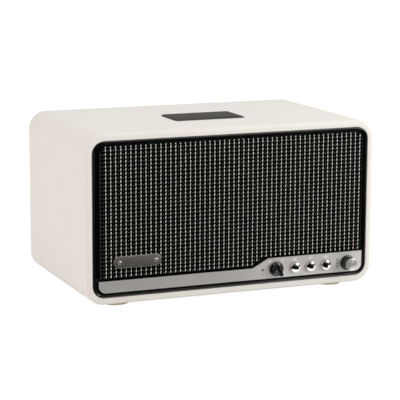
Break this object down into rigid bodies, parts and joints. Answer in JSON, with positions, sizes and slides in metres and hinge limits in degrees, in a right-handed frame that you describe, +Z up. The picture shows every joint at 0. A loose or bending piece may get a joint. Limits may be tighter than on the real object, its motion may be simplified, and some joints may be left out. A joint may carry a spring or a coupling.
{
  "type": "tabletop radio",
  "caption": "Tabletop radio in a round-cornered cabinet with a woven grille, a stepped metal control strip, knobs, push-buttons and a folding antenna.",
  "frame": {"origin": "on the surface the radio stands on, under the middle of its whole box", "axes": "+Z up, the front with its grille faces -Y, +X is the right-hand side seen from the front"},
  "size_m": [0.3, 0.2014, 0.168],
  "materials": {
    "lacquered_cabinet": "MDF box in a smooth warm off-white satin skin",
    "bezel_plastic": "satin black moulding with a rounded ridge",
    "baffle_board": "black-stained MDF",
    "black_abs": "fine-textured black ABS",
    "woven_cloth": "open black weave with silver floats",
    "badge_metal": "dark brushed metal with a bright bevelled edge, bare",
    "steel_screws": "nickel-plated steel",
    "black_screws": "black oxide steel",
    "brushed_panel": "brushed aluminium fascia, bright chamfer",
    "circuit_board": "green circuit board with its parts",
    "smoked_lens": "smoked light pipe",
    "knob_plastic": "satin black phenolic",
    "spun_aluminium": "spun face with fine circular lines",
    "zinc_parts": "zinc-plated steel",
    "chrome_buttons": "polished chrome domes",
    "spring_steel": "drawn spring wire",
    "basket_steel": "black-painted pressed steel",
    "ferrite_magnet": "sintered ferrite between steel plates",
    "cone_plastic": "black polypropylene cone and dust cap",
    "copper_coil": "copper winding on a former",
    "surround_rubber": "butyl rubber half-roll and gaskets",
    "spider_cloth": "resin-stiffened corrugated cloth",
    "rear_board": "black panel with a fine pebbled texture",
    "connector_metal": "dark grey powder-coated plate",
    "antenna_chrome": "chrome-plated brass tubes",
    "soft_pad": "matte dark grey soft-touch pad",
    "foot_wood": "light oiled beech"
  },
  "bodies": {
    "housing": {"cabinet": "lacquered_cabinet", "front_bezel": "bezel_plastic", "front_baffle": "baffle_board", "grille_frame": "black_abs", "grille_cloth": "woven_cloth", "badge_plate": "badge_metal", "badge_screws": "steel_screws", "control_panel": "brushed_panel", "panel_carrier": "black_abs", "control_board": "circuit_board", "status_lens": "smoked_lens", "panel_nuts": "steel_screws", "selector_switch": "zinc_parts", "volume_control": "zinc_parts", "button_rings": "chrome_buttons", "back_spring": "spring_steel", "play_spring": "spring_steel", "next_spring": "spring_steel", "driver_gaskets": "surround_rubber", "driver_screws": "black_screws", "rear_panel": "rear_board", "rear_screws": "black_screws", "bass_port": "black_abs", "connector_plate": "connector_metal", "power_inlet": "black_abs", "aux_jack": "black_abs", "power_switch": "black_abs", "power_supply": "zinc_parts", "amplifier_board": "circuit_board", "heatsink": "brushed_panel", "tuner_module": "zinc_parts", "top_pad": "soft_pad", "feet": "foot_wood", "foot_screws": "steel_screws", "left_basket": "basket_steel", "left_magnet": "ferrite_magnet", "left_surround": "surround_rubber", "left_spider": "spider_cloth", "right_basket": "basket_steel", "right_magnet": "ferrite_magnet", "right_surround": "surround_rubber", "right_spider": "spider_cloth"},
    "selector": {"selector_knob": "knob_plastic", "selector_shaft": "zinc_parts"},
    "volume": {"volume_knob": "knob_plastic", "volume_cap": "spun_aluminium", "volume_shaft": "zinc_parts"},
    "back": {"back_button": "chrome_buttons"},
    "play": {"play_button": "chrome_buttons"},
    "next": {"next_button": "chrome_buttons"},
    "left_diaphragm": {"left_cone": "cone_plastic", "left_voice_coil": "copper_coil"},
    "right_diaphragm": {"right_cone": "cone_plastic", "right_voice_coil": "copper_coil"},
    "rocker": {"power_rocker": "knob_plastic"},
    "turret": {"antenna_turret": "antenna_chrome"},
    "mast": {"antenna_mast": "antenna_chrome"},
    "mast_middle": {"antenna_middle": "antenna_chrome"},
    "mast_tip": {"antenna_tip": "antenna_chrome"}
  },
  "joints": [
    {"name": "selector_turn", "type": "hinge", "parent": "housing", "child": "selector", "pos_m": [0.0444, -0.0957, 0.0247], "axis": [0, 1, 0], "range_deg": [0, 90]},
    {"name": "volume_turn", "type": "hinge", "parent": "housing", "child": "volume", "pos_m": [0.1222, -0.0957, 0.0247], "axis": [0, 1, 0], "range_deg": [-150, 150]},
    {"name": "back_press", "type": "slide", "parent": "housing", "child": "back", "axis": [0, 1, 0], "range_m": [0, 0.001], "stiffness_N_per_m": 800, "springref_m": -0.001, "deforming": ["back_spring"]},
    {"name": "play_press", "type": "slide", "parent": "housing", "child": "play", "axis": [0, 1, 0], "range_m": [0, 0.001], "stiffness_N_per_m": 800, "springref_m": -0.001, "deforming": ["play_spring"]},
    {"name": "next_press", "type": "slide", "parent": "housing", "child": "next", "axis": [0, 1, 0], "range_m": [0, 0.001], "stiffness_N_per_m": 800, "springref_m": -0.001, "deforming": ["next_spring"]},
    {"name": "left_diaphragm_travel", "type": "slide", "parent": "housing", "child": "left_diaphragm", "axis": [0, 1, 0], "range_m": [-0.0025, 0.0025], "stiffness_N_per_m": 1500, "deforming": ["left_surround", "left_spider"]},
    {"name": "right_diaphragm_travel", "type": "slide", "parent": "housing", "child": "right_diaphragm", "axis": [0, 1, 0], "range_m": [-0.0025, 0.0025], "stiffness_N_per_m": 1500, "deforming": ["right_surround", "right_spider"]},
    {"name": "power_rock", "type": "hinge", "parent": "housing", "child": "rocker", "pos_m": [-0.034, 0.0849, 0.04325], "axis": [1, 0, 0], "range_deg": [0, 16]},
    {"name": "antenna_swivel", "type": "hinge", "parent": "housing", "child": "turret", "pos_m": [0.118, 0.0903, 0.13525], "axis": [0, 1, 0], "range_deg": [0, 180]},
    {"name": "antenna_fold", "type": "hinge", "parent": "turret", "child": "mast", "pos_m": [0.118, 0.0967, 0.13525], "axis": [0, 0, -1], "range_deg": [0, 90]},
    {"name": "antenna_extend_middle", "type": "slide", "parent": "mast", "child": "mast_middle", "axis": [-1, 0, 0], "range_m": [0, 0.12]},
    {"name": "antenna_extend_tip", "type": "slide", "parent": "mast_middle", "child": "mast_tip", "axis": [-1, 0, 0], "range_m": [0, 0.12]}
  ]
}
